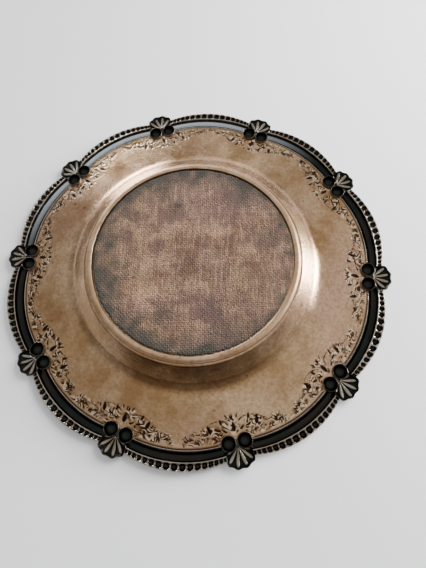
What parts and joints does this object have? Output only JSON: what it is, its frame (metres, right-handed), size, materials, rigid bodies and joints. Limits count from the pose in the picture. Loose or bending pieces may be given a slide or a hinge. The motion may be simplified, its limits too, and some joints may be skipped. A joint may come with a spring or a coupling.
{
  "type": "silver salver",
  "caption": "Round lobed silver salver lying face down: dished tray with a struck shell and bead border, a low foot ring and a woven pad under the well.",
  "frame": {"origin": "on the surface that the border rests on, below the middle of the tray, with the salver lying face down", "axes": "+Z comes out of the salver's underside, through the woven pad; +X goes through the middle of one shell; the shells follow every 36 degrees"},
  "size_m": [0.2518, 0.2486, 0.0232],
  "materials": {
    "tray_silver": "tarnished, softly polished, chased near the edge",
    "border_silver": "struck, darkened by tarnish in the hollows",
    "ring_silver": "tarnished, satin",
    "pad_cloth": "coarse plain weave, worn and stained"
  },
  "bodies": {
    "root": {"tray_body": "tray_silver", "foot_ring": "ring_silver", "base_pad": "pad_cloth", "border_strip_01": "border_silver", "border_strip_02": "border_silver", "border_strip_03": "border_silver", "border_strip_04": "border_silver", "border_strip_05": "border_silver", "border_strip_06": "border_silver", "border_strip_07": "border_silver", "border_strip_08": "border_silver", "border_strip_09": "border_silver", "border_strip_10": "border_silver", "shell_mount_01": "border_silver", "shell_mount_02": "border_silver", "shell_mount_03": "border_silver", "shell_mount_04": "border_silver", "shell_mount_05": "border_silver", "shell_mount_06": "border_silver", "shell_mount_07": "border_silver", "shell_mount_08": "border_silver", "shell_mount_09": "border_silver", "shell_mount_10": "border_silver"}
  },
  "joints": []
}
